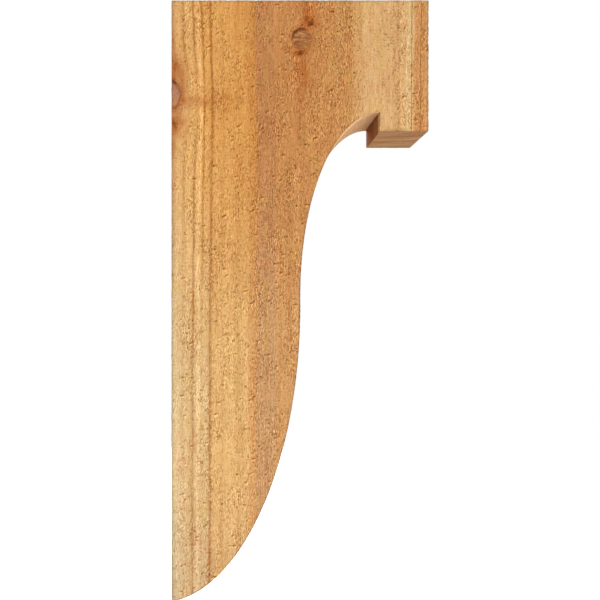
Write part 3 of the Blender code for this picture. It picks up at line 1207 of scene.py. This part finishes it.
def cedar_material(name, colours, groups, fibre_share):
    """Sawn cedar. fibre_share is how far towards loose, light fibre the colour goes."""
    tone, speckle, marks = groups
    shades = {name: tuple(getattr(colours, name)) for name in ("hollow", "tuft")}
    material = bpy.data.materials.new(name)
    material.use_nodes = True
    g = Graph(material.node_tree)
    shader = material.node_tree.nodes["Principled BSDF"]
    position = g.node("ShaderNodeTexCoord").outputs["Object"]
    read = {field: g.attribute(field) for field in FIELD_NAMES}
    wood = g.group(tone, {"Position": position} | {label(field): read[field] for field in TONE_FIELDS})
    spots = g.group(speckle, {"Position": position, "Amount": read["tear"], "Lean": read["lean"]})
    # The torn wood's own paler tufts and darker pits, with a painted highlight on the flanks facing the key
    # light, painted shade on those facing away, and painted shade in the plucked holes.
    shade = g.tint(wood["Color"], LIGHTER, spots["Tuft"], 0.76)
    shade = g.tint(shade, DARKER, spots["Pit"], 0.96)
    shade = g.tint(shade, DEEP, spots["Hole"], 0.95)
    # Painted shade in the dips of the rough skin and a painted highlight on its crests, over the darker pits
    # and paler torn fibres the wood has.
    shade = g.over(shade, shades["hollow"], g.step(read["relief"], 0.5, 0.0), 0.70)
    shade = g.tint(shade, LIGHTER, g.step(read["relief"], 0.55, 1.0), 0.40)
    if fibre_share:
        shade = g.mix(fibre_share, shade, shades["tuft"])
    g.feed(shader.inputs["Base Color"], shade)
    fine = g.noise(g.scaled(position, (1500, 1500, 160)), 3.0, 0.6)
    saw = g.group(marks, {"Position": position})["Height"]
    calm = g.step(read["tear"], 0.75, 0.15)
    rough = g.node("ShaderNodeMapRange", {"Value": fine, "To Min": 0.72, "To Max": 0.95}).outputs["Result"]
    g.feed(shader.inputs["Roughness"], rough)
    height = g.math("ADD", spots["Height"], g.times(fine, 0.35))
    height = g.math("ADD", height, g.times(g.times(saw, calm), 0.22))
    height = g.math("SUBTRACT", height, g.times(wood["Latewood"], 0.5))
    bump = g.node("ShaderNodeBump", {"Strength": 1.0, "Distance": 0.0007, "Height": height})
    g.feed(shader.inputs["Normal"], bump.outputs["Normal"])
    shader.inputs["Specular IOR Level"].default_value = 0.06
    material.diffuse_color = colours.honey
    return material


def shared_groups(context):
    """The node groups that the wood's materials share, built once."""
    scene = context.scene
    groups = bpy.data.node_groups
    tone = groups.get("cedar_tone") or cedar_tone_group(scene.cedar_colours, scene.corbel_outline)
    speckle = groups.get("torn_speckle") or torn_speckle_group(scene.sawn_surface)
    marks = groups.get("saw_marks") or saw_marks_group(scene.sawn_surface)
    return tone, speckle, marks


def place_piece(mesh, wood, name):
    """The mesh as a piece of the fixed body, made of that wood."""
    mesh.materials.append(wood)
    piece = bpy.data.objects.new(name, mesh)
    bpy.context.scene.collection.objects.link(piece)
    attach(piece, BODY)
    return piece


class CORBEL_OT_board(bpy.types.Operator):
    """Build the sawn board, with its rough faces, worn arrises, growth lines and knots"""

    bl_idname = "corbel.board"
    bl_label = "Cedar Board"

    def execute(self, context):
        scene = context.scene
        wood = cedar_material("rough_sawn_cedar_face", scene.cedar_colours, shared_groups(context), 0.0)
        mesh = board_mesh(scene.corbel_outline, scene.sawn_surface)
        board = place_piece(mesh, wood, "cedar_board")
        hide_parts(CAD_NODE)
        return {"FINISHED"}


class CORBEL_OT_fibres(bpy.types.Operator):
    """Add the torn fibres that stand out of both broad faces"""

    bl_idname = "corbel.fibres"
    bl_label = "Torn Fibres"

    def execute(self, context):
        scene = context.scene
        wood = cedar_material("torn_cedar_fibre", scene.cedar_colours, shared_groups(context), 0.10)
        for name, sign, seed in (("torn_fibres_near", -1, 81), ("torn_fibres_far", 1, 84)):
            mesh = fibres_mesh(scene.corbel_outline, scene.sawn_surface, name, sign, seed)
            place_piece(mesh, wood, name)
        return {"FINISHED"}


# Each lamp: its power's name in CorbelStudio, how wide it is, where it stands and what it looks at
LAMPS = (
    ("key", 2.0, (4.50, -2.75, 1.30), (0.12, 0.0, 0.0)),
    ("fill", 1.6, (-1.10, -2.0, 0.2), (0.12, 0.0, 0.0)),
    ("bounce", 0.8, (0.08, -0.32, -1.00), (0.20, 0.0, 0.15)),
    ("back", 2.0, (-2.80, 3.40, 1.60), (0.12, 0.0, 0.0)),
)
FLOOR_REACH = 4.0
PALE = (0.9, 0.9, 0.9, 1)
WHITE = (1, 1, 1, 1)


def photo_camera(scene, studio, near_face):
    """A level camera that looks straight at the near broad face, as in the photograph."""
    lens = bpy.data.cameras.new("photo_camera")
    lens.lens = studio.lens
    lens.shift_x = studio.shift
    camera = bpy.data.objects.new("photo_camera", lens)
    camera.location = (studio.across, near_face - studio.distance, studio.above)
    camera.rotation_euler = (math.pi / 2, 0.0, 0.0)
    scene.collection.objects.link(camera)
    scene.camera = camera


def soft_light(scene, name, watts, width, place, aim):
    """A square soft lamp at place, looking at aim."""
    lamp = bpy.data.lights.new(name, "AREA")
    lamp.shape = "SQUARE"
    lamp.size = width
    lamp.energy = watts
    stand = bpy.data.objects.new(name, lamp)
    gaze = np.array(aim, dtype=float) - np.array(place, dtype=float)
    sideways = math.atan2(gaze[1], gaze[0])
    upward = math.atan2(gaze[2], math.hypot(gaze[0], gaze[1]))
    stand.location = place
    stand.rotation_euler = (math.pi / 2 + upward, 0.0, sideways - math.pi / 2)
    scene.collection.objects.link(stand)


def pale_floor(scene, drop):
    """A plain floor well below the board, white to the camera."""
    mesh = bpy.data.meshes.new("studio_floor")
    reach = FLOOR_REACH
    corners = [(-reach, -reach, 0), (reach, -reach, 0), (reach, reach, 0), (-reach, reach, 0)]
    mesh.from_pydata(corners, [], [(0, 1, 2, 3)])
    pale = bpy.data.materials.new("pale_floor")
    pale.use_nodes = True
    shader = pale.node_tree.nodes["Principled BSDF"]
    shader.inputs["Base Color"].default_value = PALE
    shader.inputs["Roughness"].default_value = 0.9
    shader.inputs["Emission Color"].default_value = WHITE
    g = Graph(pale.node_tree)
    g.feed(shader.inputs["Emission Strength"], g.node("ShaderNodeLightPath").outputs["Is Camera Ray"])
    mesh.materials.append(pale)
    floor = bpy.data.objects.new("studio_floor", mesh)
    floor.location = (0, 0, -drop)
    scene.collection.objects.link(floor)


def white_room(scene, sky):
    """A white world that lights the board a little and shows pure white behind it."""
    room = bpy.data.worlds.new("white_room")
    room.use_nodes = True
    g = Graph(room.node_tree)
    seen = g.node("ShaderNodeLightPath").outputs["Is Camera Ray"]
    strength = g.node("ShaderNodeMapRange", {"Value": seen, "To Min": sky, "To Max": 1.0}).outputs["Result"]
    background = room.node_tree.nodes["Background"]
    background.inputs["Color"].default_value = WHITE
    g.feed(background.inputs["Strength"], strength)
    scene.world = room


class CORBEL_OT_studio(bpy.types.Operator):
    """Set up the camera, the soft lights, the pale floor and the white room"""

    bl_idname = "corbel.studio"
    bl_label = "Studio"

    def execute(self, context):
        scene = context.scene
        studio = scene.corbel_studio
        photo_camera(scene, studio, -scene.corbel_outline.thickness / 2)
        for name, width, place, aim in LAMPS:
            soft_light(scene, name + "_light", getattr(studio, name), width, place, aim)
        pale_floor(scene, studio.floor_drop)
        white_room(scene, studio.sky)
        scene.view_settings.view_transform = "Standard"
        return {"FINISHED"}


class CORBEL_PT_sidebar(bpy.types.Panel):
    """The corbel's pieces and settings"""

    bl_idname = "CORBEL_PT_sidebar"
    bl_label = "Cedar Corbel"
    bl_space_type = "VIEW_3D"
    bl_region_type = "UI"
    bl_category = "Corbel"

    def draw(self, context):
        layout = self.layout
        for operator in OPERATORS:
            layout.operator(operator.bl_idname)
        for owner in SETTINGS:
            group = getattr(context.scene, owner)
            box = layout.box()
            box.label(text=SETTINGS[owner].__name__)
            for name in SETTINGS[owner].__annotations__:
                box.prop(group, name)


SETTINGS = {
    "corbel_outline": CorbelOutline,
    "sawn_surface": SawnSurface,
    "cedar_colours": CedarColours,
    "corbel_studio": CorbelStudio,
}
OPERATORS = (CORBEL_OT_board, CORBEL_OT_fibres, CORBEL_OT_studio)


def register():
    for owner, settings in SETTINGS.items():
        bpy.utils.register_class(settings)
        setattr(bpy.types.Scene, owner, PointerProperty(type=settings))
    for operator in OPERATORS:
        bpy.utils.register_class(operator)
    bpy.utils.register_class(CORBEL_PT_sidebar)


def unregister():
    bpy.utils.unregister_class(CORBEL_PT_sidebar)
    for operator in reversed(OPERATORS):
        bpy.utils.unregister_class(operator)
    for owner, settings in SETTINGS.items():
        delattr(bpy.types.Scene, owner)
        bpy.utils.unregister_class(settings)


def main():
    register()
    bpy.ops.corbel.board()
    bpy.ops.corbel.fibres()
    bpy.ops.corbel.studio()


if __name__ == "__main__":
    main()
